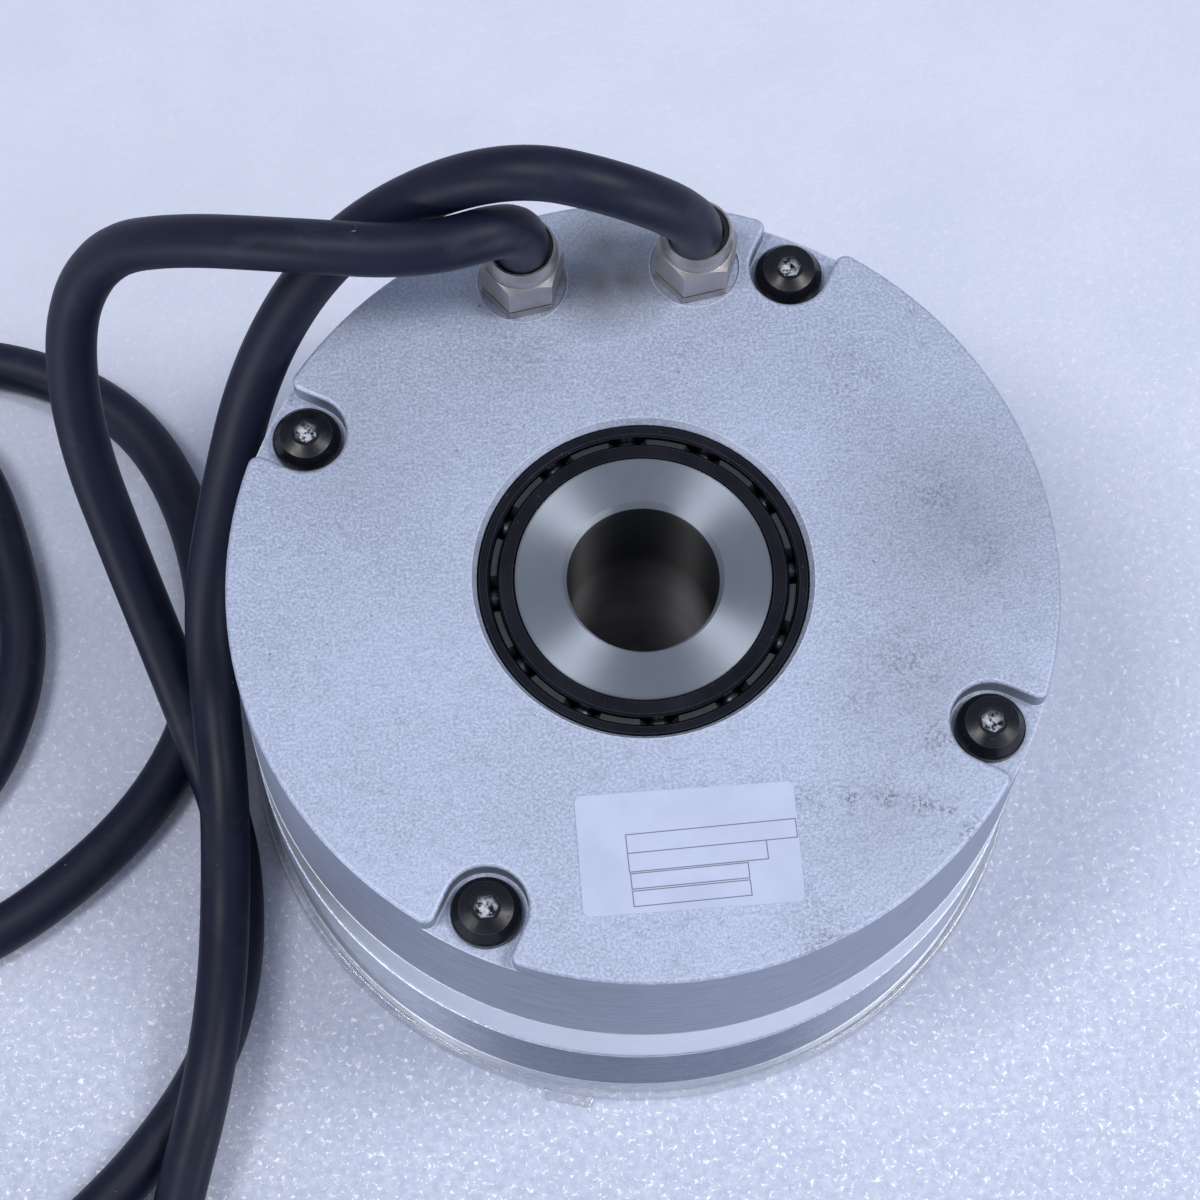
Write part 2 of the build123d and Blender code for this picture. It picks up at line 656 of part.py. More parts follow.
def bearing_retainer():
    body = tube(RETAINER_BORE_R, RETAINER_R, FRONT_BOSS_TOP, RETAINER_T)
    for angle in RETAINER_ANGLES:
        hole = rod(SMALL_SCREW_R + THREAD_GAP, FRONT_BOSS_TOP, RETAINER_T)
        body -= place(RETAINER_SCREW_PITCH_R, angle) * hole
    return body


def front_shaft_seal():
    """Lip seal: rubber ring with a lip that runs on the shaft."""
    lip_r = SHAFT_FRONT_R + SEAL_GAP
    wall_r = lip_r + SEAL_SECTION / 2
    outer_r = SEAL_BORE_R - LOCATING_GAP
    top = SEAL_BORE_TOP - SEAL_GAP
    bottom = top - SEAL_L
    web = top - SEAL_L / 3
    return turned([
        (lip_r, web - SEAL_L / 4),
        (lip_r + SEAL_SECTION / 5, bottom + SEAL_L / 4),
        (wall_r, bottom + SEAL_L / 8),
        (wall_r + SEAL_SECTION / 6, bottom),
        (outer_r, bottom),
        (outer_r, top),
        (wall_r, top),
        (wall_r, web),
        (lip_r + SEAL_SECTION / 8, web),
    ])


def hollow_shaft():
    body = turned([
        (BORE_R, SHAFT_FRONT_Z + SHAFT_EDGE),
        (BORE_R + SHAFT_EDGE, SHAFT_FRONT_Z),
        (SHAFT_FRONT_R - SHAFT_EDGE, SHAFT_FRONT_Z),
        (SHAFT_FRONT_R, SHAFT_FRONT_Z + SHAFT_EDGE),
        (SHAFT_FRONT_R, FRONT_BEARING_Z),
        (SHAFT_HUB_R, FRONT_BEARING_Z),
        (SHAFT_HUB_R, SHAFT_STEP_Z),
        (SHAFT_ENCODER_R, SHAFT_STEP_Z),
        (SHAFT_ENCODER_R, REAR_BEARING_Z),
        (SHAFT_REAR_R, REAR_BEARING_Z),
        (SHAFT_REAR_R, SHAFT_REAR_Z - SHAFT_EDGE),
        (SHAFT_REAR_R - SHAFT_EDGE, SHAFT_REAR_Z),
        (BORE_MOUTH_R, SHAFT_REAR_Z),
        (BORE_R, SHAFT_REAR_Z - BORE_MOUTH_DEPTH),
    ])
    for i in range(OUTPUT_COUNT):
        tap = rod(OUTPUT_TAP_R, SHAFT_FRONT_Z, OUTPUT_TAP_DEPTH)
        body -= place(OUTPUT_PITCH_R, 360 / OUTPUT_COUNT * i) * tap
    return body


def rotor_hub():
    bore_r = SHAFT_HUB_R + LOCATING_GAP
    web_z = HUB_Z + HUB_WEB_DROP
    rim_z = CORE_Z - RIM_OVERHANG
    rim_top = CORE_TOP + RIM_OVERHANG
    body = turned([
        (bore_r, HUB_Z),
        (HUB_BOSS_R, HUB_Z),
        (HUB_BOSS_R, web_z),
        (RIM_IN_R, web_z),
        (RIM_IN_R, rim_z),
        (RIM_R, rim_z),
        (RIM_R, rim_top),
        (RIM_IN_R, rim_top),
        (RIM_IN_R, web_z + HUB_WEB_T),
        (HUB_BOSS_R, web_z + HUB_WEB_T),
        (HUB_BOSS_R, NUT_Z),
        (bore_r, NUT_Z),
    ])
    return body


def rotor_magnets():
    blank = tube(RIM_R + LOCATING_GAP, MAGNET_R, CORE_Z, CORE_L)
    half = radians(MAGNET_ANGLE / 2)
    reach = 2 * MAGNET_R
    sector = make_face(Polyline(
        (0, 0),
        (reach * cos(half), -reach * sin(half)),
        (reach * cos(half), reach * sin(half)),
        close=True,
    ))
    magnet = blank & Pos(0, 0, CORE_Z) * extrude(sector, CORE_L)
    return group([Rot(0, 0, 360 / MAGNET_COUNT * i) * magnet for i in range(MAGNET_COUNT)])


def rotor_lock_nut():
    body = tube(SHAFT_HUB_R + LOCATING_GAP, LOCK_NUT_R, NUT_Z, LOCK_NUT_T)
    for i in range(4):
        cutter = Box(2 * LOCK_NUT_SLOT_DEPTH, LOCK_NUT_SLOT, LOCK_NUT_T)
        slot = Pos(LOCK_NUT_R, 0, NUT_Z + LOCK_NUT_T / 2) * cutter
        body -= Rot(0, 0, 45 + 90 * i) * slot
    return body


def stator_core():
    """Laminated ring with wound teeth, each with a wider tip."""
    section = Circle(YOKE_OUT_R) - Circle(YOKE_IN_R)
    tip = Circle(STATOR_BORE_R + TIP_T) - Circle(STATOR_BORE_R)
    half = radians(TIP_ANGLE / 2)
    reach = 2 * STATOR_BORE_R
    sector = make_face(Polyline(
        (0, 0),
        (reach * cos(half), -reach * sin(half)),
        (reach * cos(half), reach * sin(half)),
        close=True,
    ))
    tip &= sector
    tooth = Pos(STATOR_BORE_R + 1 + TOOTH_L / 2, 0) * Rectangle(TOOTH_L, TOOTH_W)
    for i in range(TOOTH_COUNT):
        section += Rot(0, 0, 360 / TOOTH_COUNT * i) * (tip + tooth)
    return Pos(0, 0, CORE_Z) * extrude(section, CORE_L)


def stator_coils():
    r_in = STATOR_BORE_R + TIP_T + COIL_TIP_GAP
    depth = sqrt((YOKE_IN_R - COIL_ROOT_GAP) ** 2 - (COIL_W / 2) ** 2) - r_in
    height = CORE_L + 2 * COIL_OVERHANG
    outline = RectangleRounded(COIL_W, height, COIL_CORNER)
    window = Rectangle(TOOTH_W + 2 * COIL_SLACK, CORE_L + 2 * COIL_SLACK)
    coil = Pos(r_in, 0, CORE_MID_Z) * extrude(Plane.YZ * (outline - window), depth)
    return group([Rot(0, 0, 360 / TOOTH_COUNT * i) * coil for i in range(TOOTH_COUNT)])


def insulator(z):
    """Moulded end ring that keeps the winding ends off the core."""
    body = tube(YOKE_IN_R, YOKE_IN_R + INSULATOR_W, z, INSULATOR_L)
    for i in range(TOOTH_COUNT):
        notch = Pos(YOKE_IN_R + INSULATOR_W / 2, 0, z + INSULATOR_L / 2) * Box(INSULATOR_W + 2, *INSULATOR_NOTCH)
        body -= Rot(0, 0, 360 / TOOTH_COUNT * (i + 0.5)) * notch
    return body


def winding_board():
    outer_r = YOKE_IN_R + INSULATOR_W
    body = tube(outer_r - WINDING_BOARD_W, outer_r, CORE_TOP + INSULATOR_L, WINDING_BOARD_T)
    for i in range(TOOTH_COUNT):
        hole = rod(WINDING_HOLE_R, CORE_TOP + INSULATOR_L, WINDING_BOARD_T)
        body -= place(outer_r - WINDING_HOLE_EDGE, 360 / TOOTH_COUNT * (i + 0.5)) * hole
    return body


def encoder_hub():
    bore_r = SHAFT_ENCODER_R + LOCATING_GAP
    flange_w, flange_t = ENCODER_FLANGE
    return turned([
        (bore_r, SHAFT_STEP_Z),
        (ENCODER_HUB_R, SHAFT_STEP_Z),
        (ENCODER_HUB_R, DISC_Z - flange_t),
        (ENCODER_HUB_R + flange_w, DISC_Z - flange_t),
        (ENCODER_HUB_R + flange_w, DISC_Z),
        (bore_r, DISC_Z),
    ])


def encoder_board():
    body = tube(ENCODER_BOARD_BORE_R, ENCODER_BOARD_R, ENCODER_BOARD_Z, BOARD_T)
    for angle in STANDOFF_ANGLES:
        body -= place(STANDOFF_PITCH_R, angle) * rod(SMALL_SCREW_R + THREAD_GAP, ENCODER_BOARD_Z, BOARD_T)
    return body


def encoder_sensor():
    z = DISC_Z + DISC_T + SENSOR_GAP
    height = ENCODER_BOARD_Z - z
    return place(SENSOR_PITCH_R, SENSOR_ANGLE, z + height / 2) * Box(SENSOR_SIZE[1], SENSOR_SIZE[0], height)


def board_connectors():
    length, width, height = CONNECTOR_SIZE
    room = Box(width - 2 * CONNECTOR_WALL, length - 2 * CONNECTOR_WALL, height)
    shell = Box(width, length, height) - Pos(0, 0, CONNECTOR_WALL) * room
    shell = Pos(0, 0, height / 2) * shell
    angles = (POWER_ANGLE, ENCODER_ANGLE)
    return group([place(CONNECTOR_PITCH_R, angle, BOARD_TOP) * shell for angle in angles])


def guard_ring():
    """Clear plastic ring on the mounting edge, with a pull tab."""
    r_in = FRONT_R + RING_GAP
    r_out = r_in + GUARD_T
    body = turned([
        (r_in, 0),
        (r_out - GUARD_CHAMFER, 0),
        (r_out, GUARD_CHAMFER),
        (r_out, GUARD_H - GUARD_CHAMFER),
        (r_out - GUARD_CHAMFER, GUARD_H),
        (r_in, GUARD_H),
    ])
    root = r_out - GUARD_T / 2
    tip = r_out + TAB_REACH
    tab = extrude(make_face(Polyline(
        (root, -TAB_ROOT_W / 2),
        (tip, -TAB_TIP_W / 2),
        (tip, TAB_TIP_W / 2),
        (root, TAB_ROOT_W / 2),
        close=True,
    )), TAB_H)
    return body + Rot(0, 0, TAB_ANGLE) * tab


def nameplate():
    plate = extrude(RectangleRounded(*PLATE_SIZE, PLATE_CORNER), PLATE_T)
    return Pos(PLATE_SIDE, PLATE_EDGE - REAR_TOP_R, TOP) * Rot(0, 0, PLATE_TURN) * plate


def bend_radii(route):
    """Largest arc that each corner's two runs allow."""
    points = [Vector(*p) for p in route]
    radii = []
    for before, corner, after in zip(points, points[1:], points[2:]):
        turn = (corner - before).get_angle(after - corner)
        run = min((corner - before).length, (after - corner).length)
        radii.append(BEND_SHARE * run / tan(radians(turn / 2)))
    return radii


def cord(name, route):
    """Round cord along straight runs joined by tangent arcs."""
    radii = bend_radii(route)
    path = FilletPolyline(*route, radius=radii)
    body = sweep(Plane(path @ 0, z_dir=path % 0) * Circle(CORD_R), path=path)
    expected = pi * CORD_R ** 2 * path.length
    print(name, "length", round(path.length, 1), "volume ratio", round(body.volume / expected, 4))
    print("   radii", [round(r, 1) for r in radii])
    return body


def cord_coil():
    """Outer shape of the flat coil."""
    r_out = COIL_OUTER_R + CORD_R
    r_in = COIL_OUTER_R - COIL_PITCH * COIL_TURNS - CORD_R
    ring = tube(r_in, r_out, CORD_Z - CORD_R, 2 * CORD_R)
    ring = fillet(ring.edges().filter_by(GeomType.CIRCLE), COIL_ROUND)
    return Pos(*COIL_CENTRE) * ring


def end_frame(route):
    """Plane at the end of a cord, its X axis pointing out of the cord and level."""
    last = Vector(*route[-1])
    way = last - Vector(*route[-2])
    return Plane(origin=last, x_dir=way, z_dir=(0, 0, 1))


def plug_boot(route):
    cone = Plane.XZ * make_face(Polyline(
        (0, 0),
        (BOOT_TIP_R, 0),
        (BOOT_ROOT_R, BOOT_L),
        (0, BOOT_L),
        close=True,
    ))
    return end_frame(route) * Rot(0, 90, 0) * revolve(cone, Axis.Z)


def contact_places(contacts):
    """Middle of each contact in the plug's mating face, from the face's centre."""
    places = []
    for column in range(contacts["columns"]):
        for row in range(contacts["rows"]):
            y = (column - (contacts["columns"] - 1) / 2) * contacts["pitch"]
            z = (row - (contacts["rows"] - 1) / 2) * contacts["pitch"]
            places.append((y, z))
    return places


def plug_shell(route, contacts):
    shell = fillet(Box(PLUG_L, PLUG_W, PLUG_H).edges().filter_by(Axis.X), PLUG_EDGE)
    for y, z in contact_places(contacts):
        hole = Box(CONTACT_HOLE_L, CONTACT_HOLE, CONTACT_HOLE)
        shell -= Pos((PLUG_L - CONTACT_HOLE_L) / 2, y, z) * hole
    latch = Pos(PLUG_L / 2 - LATCH_SIZE[0], 0, (PLUG_H + LATCH_SIZE[2]) / 2) * Box(*LATCH_SIZE)
    return end_frame(route) * Pos(BOOT_L + PLUG_L / 2, 0, 0) * (shell + latch)


def plug_contacts(route, contacts):
    start = BOOT_L + PLUG_L - CONTACT_HOLE_L
    contact = Box(CONTACT_L, CONTACT_SIDE, CONTACT_SIDE)
    contact -= Pos(CONTACT_L / 4, 0, 0) * Box(CONTACT_L / 2, CONTACT_SIDE / 2, CONTACT_SIDE / 2)
    frame = end_frame(route)
    return group([frame * Pos(start + CONTACT_L / 2, y, z) * contact for y, z in contact_places(contacts)])


def save_housing():
    save("rear_housing", rear_housing())
    save("center_frame", center_frame())
    save("front_housing", front_housing())
    save("front_oring", oring(FRAME_Z + ORING_SECTION_R))
    save("rear_oring", oring(REAR_Z - ORING_SECTION_R))
    save("housing_screws", housing_screws())
    save("screw_washers", screw_washers())
    save("guard_ring", guard_ring())
    save("nameplate", nameplate())
    save("power_gland", gland(POWER_ANGLE))
    save("encoder_gland", gland(ENCODER_ANGLE))
    save("power_gland_seal", gland_seal(POWER_ANGLE))
    save("encoder_gland_seal", gland_seal(ENCODER_ANGLE))


def save_bearings():
    rear = bearing(SHAFT_REAR_R, REAR_SECTION, REAR_LANDS, REAR_BALL_R, REAR_BEARING_Z)
    front = bearing(SHAFT_HUB_R, FRONT_SECTION, FRONT_LANDS, FRONT_BALL_R, FRONT_BEARING_Z)
    for name, (outer, inner, cage, balls) in (("rear", rear), ("front", front)):
        save(f"{name}_bearing_outer_ring", outer)
        save(f"{name}_bearing_inner_ring", inner)
        save(f"{name}_bearing_cage", cage)
        save(f"{name}_bearing_balls", balls)
    save("wave_spring", wave_spring())
    save("bearing_retainer", bearing_retainer())
    length = RETAINER_SCREW_BITE + RETAINER_T
    seat = FRONT_BOSS_TOP + RETAINER_T
    save("retainer_screws", small_screws(RETAINER_SCREW_PITCH_R, RETAINER_ANGLES, seat, length))
    save("front_shaft_seal", front_shaft_seal())


def save_rotor():
    save("hollow_shaft", hollow_shaft())
    save("shaft_spacer", tube(SHAFT_HUB_R + LOCATING_GAP, SPACER_R, FRONT_BOSS_TOP, SPACER_L))
    save("rotor_hub", rotor_hub())
    save("rotor_magnets", rotor_magnets())
    save("magnet_sleeve", tube(MAGNET_R + LOCATING_GAP, SLEEVE_R, CORE_Z, CORE_L))
    save("rotor_lock_nut", rotor_lock_nut())
    save("encoder_hub", encoder_hub())
    save("encoder_disc", tube(SHAFT_ENCODER_R + DISC_BORE_GAP, DISC_R, DISC_Z, DISC_T))


def save_stator():
    save("stator_core", stator_core())
    save("stator_coils", stator_coils())
    save("front_insulator", insulator(CORE_Z - INSULATOR_L))
    save("rear_insulator", insulator(CORE_TOP))
    save("winding_board", winding_board())
    save("encoder_board", encoder_board())
    save("encoder_sensor", encoder_sensor())
    save("board_connectors", board_connectors())
    length = BOARD_T + BOARD_SCREW_BITE
    seat = ENCODER_BOARD_Z
    save("board_screws", small_screws(STANDOFF_PITCH_R, STANDOFF_ANGLES, seat, length, upside_down=True))


def save_cords():
    save("power_cord", cord("power_cord", POWER_ROUTE))
    save("encoder_cord_run", cord("encoder_cord_run", ENCODER_ROUTE))
    save("encoder_cord_coil", cord_coil())
    save("encoder_cord_tail", cord("encoder_cord_tail", TAIL_ROUTE))
    ends = (("power", POWER_ROUTE, POWER_CONTACTS), ("encoder", TAIL_ROUTE, ENCODER_CONTACTS))
    for name, route, contacts in ends:
        save(f"{name}_plug_boot", plug_boot(route))
        save(f"{name}_plug", plug_shell(route, contacts))
        save(f"{name}_plug_contacts", plug_contacts(route, contacts))


save_housing()
save_bearings()
save_rotor()
save_stator()
save_cords()
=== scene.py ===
import json
import math

import bpy
from mathutils import Matrix, Vector


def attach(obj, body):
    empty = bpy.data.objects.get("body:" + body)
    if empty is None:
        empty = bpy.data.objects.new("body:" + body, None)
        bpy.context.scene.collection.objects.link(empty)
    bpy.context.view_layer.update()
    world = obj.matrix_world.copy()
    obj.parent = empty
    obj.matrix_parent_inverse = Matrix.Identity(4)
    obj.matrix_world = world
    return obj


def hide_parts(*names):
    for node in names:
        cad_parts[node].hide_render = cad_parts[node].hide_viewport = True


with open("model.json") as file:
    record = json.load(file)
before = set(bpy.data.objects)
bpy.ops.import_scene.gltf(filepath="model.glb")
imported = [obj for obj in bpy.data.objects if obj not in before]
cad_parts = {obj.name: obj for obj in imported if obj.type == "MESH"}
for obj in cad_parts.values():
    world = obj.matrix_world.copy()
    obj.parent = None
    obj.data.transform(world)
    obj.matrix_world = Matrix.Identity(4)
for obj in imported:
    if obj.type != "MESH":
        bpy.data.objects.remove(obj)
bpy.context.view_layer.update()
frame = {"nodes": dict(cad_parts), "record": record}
MM = 0.001

# Camera, from the photograph's perspective
CAMERA_PLACE = (-26.77, -157.58, 484.91)
CAMERA_RIGHT = (0.99462, -0.10312, 0.00994)
CAMERA_UP = (0.09308, 0.93168, 0.35114)
CAMERA_LENS = 92.91
CAMERA_SENSOR = 36.0

# Heights and radii of the motor, in millimetres
TOP = 70.0
FOOT_TOP = 6.0
BORE_R = 11.02
# Heights in the bore where its painted shade at the mouth gives way to painted light deep inside
BORE_DARK_FROM = 50.0
BORE_PALE_FROM = 24.0
SOCKET_Z = 69.0
SOCKET_REACH = 2.6
SCREW_PITCH_R = 53.9
SCREW_PLACES = [
    (SCREW_PITCH_R * math.cos(math.radians(angle)), SCREW_PITCH_R * math.sin(math.radians(angle)))
    for angle in (60, 150, 240, 330)
]
CORD_R = 3.9
CORD_Z = 4.0

# Corners of the two cord routes, in millimetres, as in the part's source
POWER_ROUTE = [
    (-12.9, 48.3, 66.0),
    (-12.9, 48.3, 77.0),
    (-13.0, 46.3, 92.5),
    (-27.5, 42.4, 93.5),
    (-47.0, 46.5, 92.0),
    (-62.5, 53.0, 84.0),
    (-74.3, 58.3, 72.6),
    (-81.8, 54.1, 59.9),
    (-83.0, 42.0, 43.0),
    (-78.0, 26.0, 26.0),
    (-72.0, 7.5, 14.0),
    (-66.0, -13.0, CORD_Z),
    (-66.0, -32.0, CORD_Z),
    (-70.9, -49.0, CORD_Z),
    (-84.2, -65.8, CORD_Z),
    (-102.0, -79.5, CORD_Z),
    (-122.0, -83.0, CORD_Z),
    (-140.0, -75.0, CORD_Z),
    (-148.0, -57.5, CORD_Z),
    (-141.0, -40.5, CORD_Z),
    (-123.5, -32.0, CORD_Z),
    (-100.6, -24.7, CORD_Z),
    (-76.6, -5.3, CORD_Z),
    (-67.0, 19.0, CORD_Z),
    (-69.3, 43.0, CORD_Z),
    (-79.0, 63.0, CORD_Z),
    (-99.5, 75.0, CORD_Z),
    (-121.5, 76.0, CORD_Z),
    (-139.5, 65.5, CORD_Z),
    (-148.0, 46.0, CORD_Z),
    (-148.0, 22.0, CORD_Z),
    (-141.0, 0.5, CORD_Z),
    (-125.0, -11.5, CORD_Z),
    (-108.0, -4.0, CORD_Z),
    (-98.4, 16.5, CORD_Z),
    (-99.4, 36.0, 4.6),
    (-105.7, 58.1, 5.6),
    (-118.3, 62.7, 6.2),
    (-129.4, 55.2, 6.2),
    (-129.6, 41.8, 6.2),
]
ENCODER_ROUTE = [
    (12.9, 48.3, 66.0),
    (12.9, 48.3, 77.0),
    (11.9, 45.7, 90.4),
    (0.6, 45.8, 101.4),
    (-12.8, 49.5, 103.2),
    (-28.3, 52.5, 92.1),
    (-42.7, 49.0, 80.5),
    (-53.6, 40.1, 65.8),
    (-60.7, 28.6, 46.9),
    (-66.0, 17.5, 30.0),
    (-66.5, 4.5, 21.0),
    (-66.0, -11.5, 19.0),
    (-67.5, -26.0, 12.5),
    (-69.0, -40.5, 12.0),
    (-72.5, -56.7, 12.1),
    (-78.0, -71.2, 7.7),
    (-82.8, -88.0, CORD_Z),
    (-86.0, -106.0, CORD_Z),
    (-86.2, -123.0, CORD_Z),
]
TAIL_ROUTE = [
    (-66.1, -108.5, CORD_Z),
    (-69.8, -119.7, 6.0),
    (-69.0, -131.3, 9.4),
    (-63.8, -142.0, 12.4),
    (-54.5, -149.3, 14.2),
    (-43.5, -150.2, 14.2),
]
COIL_CENTRE = (-46.2, -123.0)
COIL_OUTER_R = 40.0
COIL_PITCH = 8.1
COIL_STEP = 22.5
COIL_FIRST = 191.0
COIL_LAST = 843.0

# Colour of both castings
CASTING = (0.36, 0.40, 0.515)

# Ruled lines on the nameplate in millimetres, and its empty boxes: middle x and y, half length, half height
LINE_HALF = 0.06
LINE_SOFT = 0.04
LABEL_BOXES = [
    (5.2, -39.7, 11.9, 1.35),
    (3.0, -42.4, 9.7, 1.35),
    (1.6, -45.1, 8.2, 1.1),
    (1.6, -47.6, 8.2, 1.1),
]

# Stained and pitted places on the rear casting: x, y, reach in millimetres and strength
STAINS = [
    (19.2, -36.6, 4.0, 0.8),
    (25.0, -36.3, 4.0, 0.9),
    (30.4, -36.1, 3.8, 1.0),
    (35.3, -37.7, 3.6, 1.0),
    (39.0, -39.7, 3.8, 0.9),
    (41.3, -42.0, 3.6, 0.8),
    (36.7, -16.5, 9.0, 0.6),
    (39.0, -28.7, 5.0, 0.8),
    (27.9, -21.1, 5.0, 0.5),
    (18.4, -55.6, 6.0, 0.8),
    (17.5, -50.4, 4.0, 0.6),
    (43.9, 8.5, 7.0, 0.6),
    (49.3, -1.2, 6.0, 0.6),
    (34.0, 30.0, 12.0, 0.4),
    (-6.9, 47.7, 6.0, 0.5),
    (-15.0, 36.9, 8.0, 0.4),
    (-50.0, -10.0, 9.0, 0.35),
]

# Soft darker places on the rear casting: x, y, reach in millimetres and strength. The first three are
# painted shade between the glands, under the encoder cord's arc; the others darken broad patches to the
# right and left.
SHADES = [
    (-1.5, 46.5, 10.0, 1.0),
    (2.5, 47.0, 9.0, 1.0),
    (0.0, 53.0, 9.0, 0.8),
    (47.0, 4.0, 26.0, 0.42),
    (38.0, -22.0, 20.0, 0.25),
    (30.0, -40.0, 13.0, 0.22),
    (-40.0, 22.0, 16.0, 0.20),
]

# Floor in metres: half side, and the two y between which its painted glints and fine darker flecks fade
# toward the back, out of focus
FLOOR_HALF = 3.0
FLOOR_SHARP_Y = -0.06
FLOOR_SOFT_Y = 0.10

# Sky light, even from all sides
SKY_COLOUR = (0.77, 0.86, 1.05)
SKY_STRENGTH = 0.46

# Lights: name, place, height aimed at and size in metres, power in watts
LIGHT_TINT = (0.99, 0.99, 0.99)
LIGHTS = [
    ("left", (-0.51, -0.13, 1.26), 0.05, (0.30, 0.40), 6.2),
    ("right", (0.64, -0.10, 1.16), 0.05, (0.30, 0.40), 6.6),
    ("low_left", (-0.98, -0.70, 0.18), 0.0, (0.70, 0.16), 3.8),
    ("low_right", (0.86, -0.86, 0.18), 0.0, (0.70, 0.16), 3.8),
]


def metres(points):
    """Points given in millimetres, in metres."""
    return [tuple(value * MM for value in point) for point in points]


def times(colour, factor):
    """A colour made lighter or darker."""
    return tuple(min(1.0, channel * factor) for channel in colour)


def coil_points():
    """Flat spiral of the put-away length, from its outer turn inwards."""
    count = round((COIL_LAST - COIL_FIRST) / COIL_STEP)
    swell = 1 / math.cos(math.radians(COIL_STEP / 2))
    points = []
    for i in range(count + 1):
        angle = COIL_FIRST + (COIL_LAST - COIL_FIRST) * i / count
        radius = (COIL_OUTER_R - COIL_PITCH * (angle - 180) / 360) * swell
        x = COIL_CENTRE[0] + radius * math.cos(math.radians(angle))
        y = COIL_CENTRE[1] + radius * math.sin(math.radians(angle))
        points.append((x, y, CORD_Z))
    return points


class Shader:
    """A material with one Principled shader and short ways to add nodes to it."""

    def __init__(self, name, colour, metallic=0.0, roughness=0.5, **sockets):
        self.material = bpy.data.materials.new(name)
        self.material.use_nodes = True
        self.tree = self.material.node_tree
        self.bsdf = self.tree.nodes["Principled BSDF"]
        self.set(self.bsdf, "Base Color", (*colour, 1.0))
        self.set(self.bsdf, "Metallic", metallic)
        self.set(self.bsdf, "Roughness", roughness)
        for socket, value in sockets.items():
            self.set(self.bsdf, socket.replace("_", " "), value)
        self.coords = self.add("ShaderNodeTexCoord").outputs["Object"]

    def set(self, node, socket, value):
        if isinstance(value, bpy.types.NodeSocket):
            self.tree.links.new(value, node.inputs[socket])
        else:
            node.inputs[socket].default_value = value

    def add(self, kind, sockets=None, **settings):
        node = self.tree.nodes.new(kind)
        for key, value in settings.items():
            setattr(node, key, value)
        for socket, value in (sockets or {}).items():
            self.set(node, socket, value)
        return node

    def noise(self, scale, detail=3.0, rough=0.55, coords=None, distortion=0.0):
        node = self.add("ShaderNodeTexNoise", {
            "Vector": coords or self.coords,
            "Scale": scale,
            "Detail": detail,
            "Roughness": rough,
            "Distortion": distortion,
        })
        return node.outputs["Fac"]

    def ramp(self, value, low, high, start=0.0, end=1.0):
        node = self.add("ShaderNodeMapRange", {
            "Value": value,
            "From Min": low,
            "From Max": high,
            "To Min": start,
            "To Max": end,
        })
        return node.outputs["Result"]

    def math(self, operation, first, second=0.0):
        node = self.add("ShaderNodeMath", {0: first, 1: second}, operation=operation)
        return node.outputs[0]

    def mix(self, factor, first, second):
        node = self.add("ShaderNodeMix", data_type="RGBA")
        self.set(node, 0, factor)
        for socket, value in ((6, first), (7, second)):
            self.set(node, socket, (*value, 1.0) if isinstance(value, tuple) else value)
        return node.outputs[2]

    def stretched(self, x, y, z):
        node = self.add("ShaderNodeVectorMath", {0: self.coords, 1: (x, y, z)}, operation="MULTIPLY")
        return node.outputs[0]

    def axes(self):
        node = self.add("ShaderNodeSeparateXYZ", {0: self.coords})
        return node.outputs["X"], node.outputs["Y"], node.outputs["Z"]

    def radius(self):
        """Distance from the shaft axis."""
        x, y, _ = self.axes()
        squares = self.math("ADD", self.math("MULTIPLY", x, x), self.math("MULTIPLY", y, y))
        return self.math("SQRT", squares)

    def near(self, place, reach):
        """1 at a place, given in millimetres, and 0 from the reach on."""
        middle = tuple(value * MM for value in place)
        spot = self.add("ShaderNodeVectorMath", {0: self.coords, 1: middle}, operation="DISTANCE")
        return self.ramp(spot.outputs["Value"], 0.0, reach * MM, 1.0, 0.0)

    def box_line(self, x, y, box):
        """1 on the thin outline of a level box, given as middle and half sides in millimetres."""
        middle_x, middle_y, half_x, half_y = (value * MM for value in box)
        beyond = []
        for axis, middle, half in ((x, middle_x, half_x), (y, middle_y, half_y)):
            distance = self.math("ABSOLUTE", self.math("SUBTRACT", axis, middle))
            beyond.append(self.math("SUBTRACT", distance, half))
        off = self.math("ABSOLUTE", self.math("MAXIMUM", *beyond))
        return self.ramp(off, LINE_HALF * MM, (LINE_HALF + LINE_SOFT) * MM, 1.0, 0.0)

    def edges(self, width):
        """1 along sharp edges, faded over the width in millimetres."""
        bevel = self.add("ShaderNodeBevel", {"Radius": width * MM}, samples=6)
        normals = {0: bevel.outputs[0], 1: self.add("ShaderNodeNewGeometry").outputs["Normal"]}
        dot = self.add("ShaderNodeVectorMath", normals, operation="DOT_PRODUCT")
        return self.ramp(dot.outputs["Value"], 0.995, 0.85)

    def bump(self, height, strength, depth, normal=None):
        sockets = {"Height": height, "Strength": strength, "Distance": depth * MM}
        if normal is not None:
            sockets["Normal"] = normal
        self.set(self.bsdf, "Normal", self.add("ShaderNodeBump", sockets).outputs[0])

    def turned(self):
        """Fine rings round the axis, which spread each light into two fans."""
        tangent = self.add("ShaderNodeTangent", direction_type="RADIAL", axis="Z")
        self.set(self.bsdf, "Tangent", tangent.outputs[0])
        self.set(self.bsdf, "Anisotropic", 1.0)
        self.set(self.bsdf, "Anisotropic Rotation", 0.25)

    def colour(self, value):
        self.set(self.bsdf, "Base Color", value)

    def rough(self, value):
        self.set(self.bsdf, "Roughness", value)


def spots(s, places):
    """The strongest of the given places on the rear casting, at each point."""
    total = 0.0
    for x, y, reach, strength in places:
        total = s.math("MAXIMUM", s.math("MULTIPLY", s.near((x, y, TOP), reach), strength), total)
    return total


